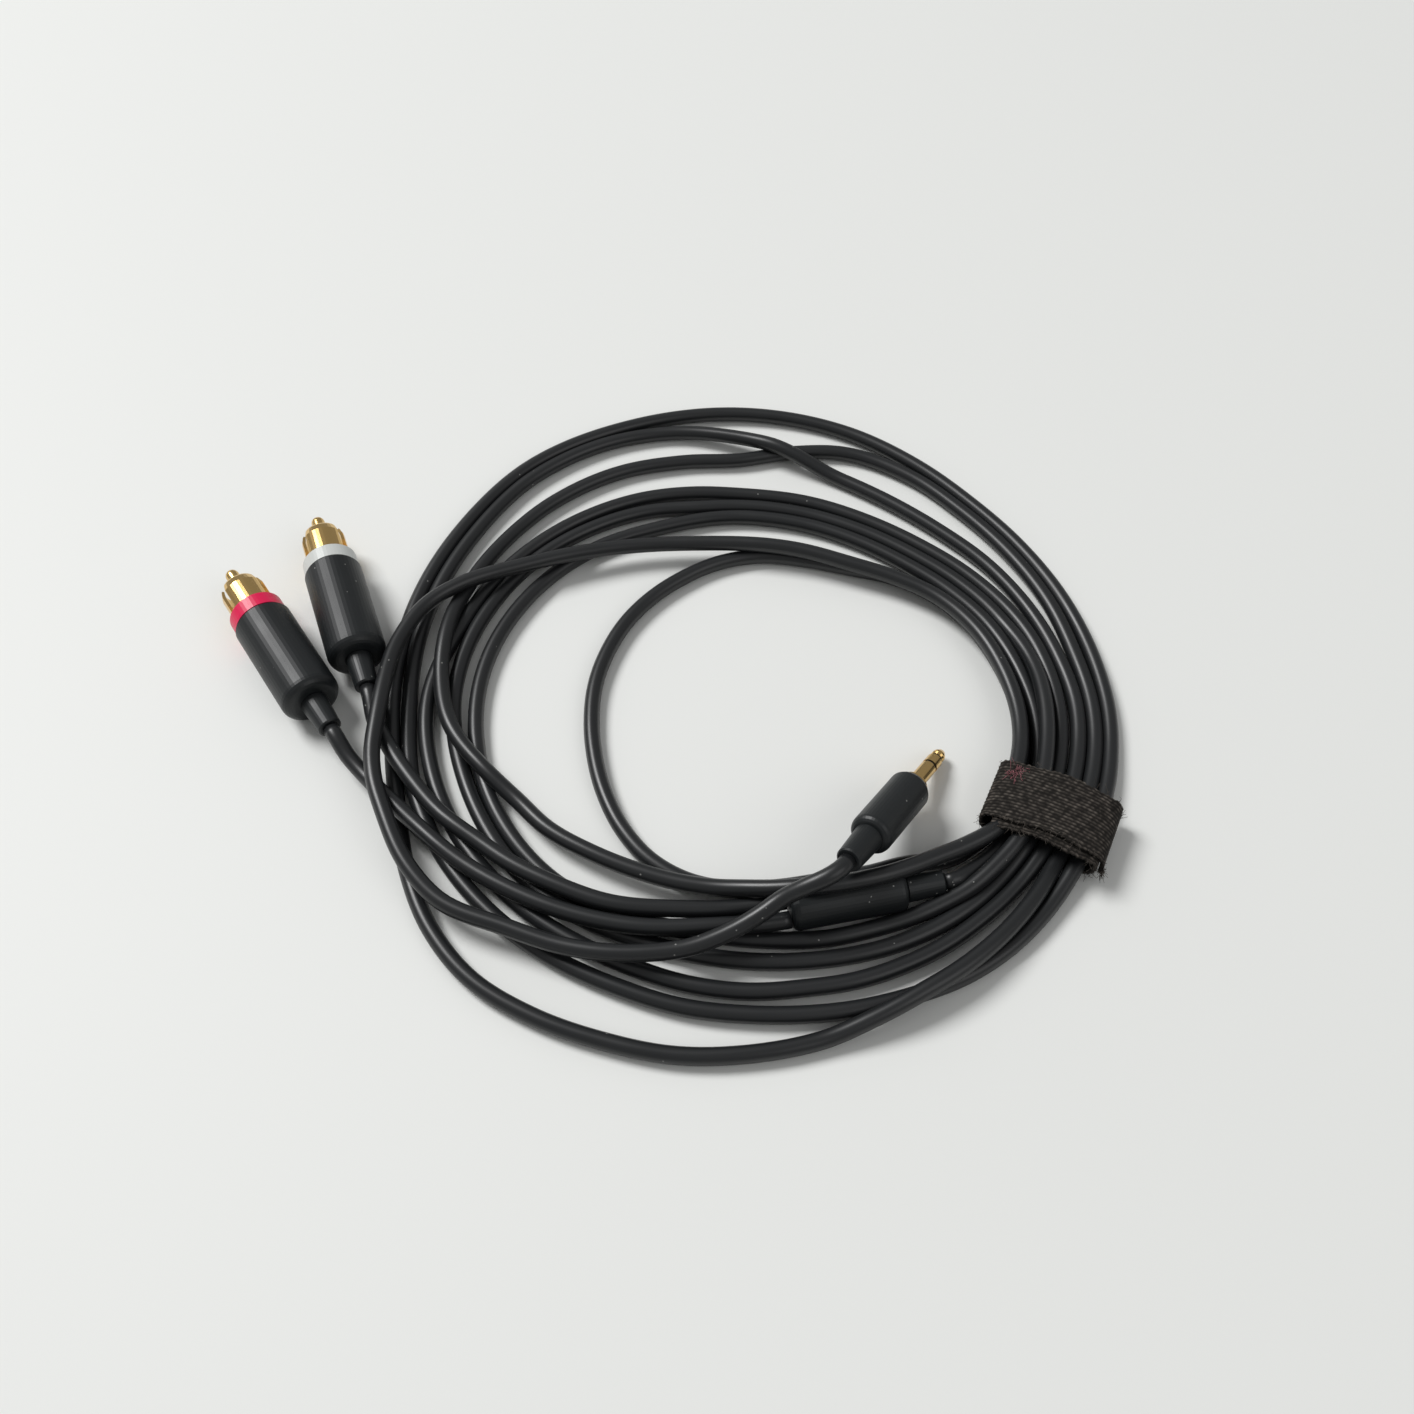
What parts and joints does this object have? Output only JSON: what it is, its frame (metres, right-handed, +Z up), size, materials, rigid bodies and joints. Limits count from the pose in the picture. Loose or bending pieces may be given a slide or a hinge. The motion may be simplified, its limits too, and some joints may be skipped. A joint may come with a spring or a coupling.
{
  "type": "rca audio cable",
  "caption": "Black stereo audio cable with a 3.5 mm plug, a moulded junction and paired phono plugs, lying coiled in a hook and loop tie.",
  "frame": {"origin": "centre of the footprint of the plugs, the junction and the tie, on the table", "axes": "+Z up from the table, +X towards the tie, +Y away from the junction towards the pin ends of the phono plugs"},
  "size_m": [0.2025, 0.1797, 0.0192],
  "materials": {
    "cord_jacket": "satin",
    "moulded_grip": "satin",
    "gold_plate": "polished",
    "insulator": "matte",
    "red_channel": "satin",
    "white_channel": "satin",
    "tie_fabric": "woven"
  },
  "bodies": {
    "root": {"stereo_plug_tip": "gold_plate", "stereo_plug_tip_insulator": "insulator", "stereo_plug_ring": "gold_plate", "stereo_plug_ring_insulator": "insulator", "stereo_plug_sleeve": "gold_plate", "stereo_plug_housing": "moulded_grip", "stereo_plug_strain_relief": "moulded_grip", "red_plug_pin": "gold_plate", "red_plug_insulator": "insulator", "red_plug_shell": "gold_plate", "red_plug_band": "red_channel", "red_plug_housing": "moulded_grip", "red_plug_strain_relief": "moulded_grip", "white_plug_pin": "gold_plate", "white_plug_insulator": "insulator", "white_plug_shell": "gold_plate", "white_plug_band": "white_channel", "white_plug_housing": "moulded_grip", "white_plug_strain_relief": "moulded_grip", "junction_body": "moulded_grip", "junction_strain_relief": "moulded_grip", "hook_and_loop_tie": "tie_fabric", "cord_coil": "cord_jacket", "cord_stereo_lead": "cord_jacket", "cord_inner_loop": "cord_jacket", "cord_inner_turn": "cord_jacket", "cord_junction_lead": "cord_jacket", "cord_red_lead": "cord_jacket", "cord_white_lead": "cord_jacket"}
  },
  "joints": []
}
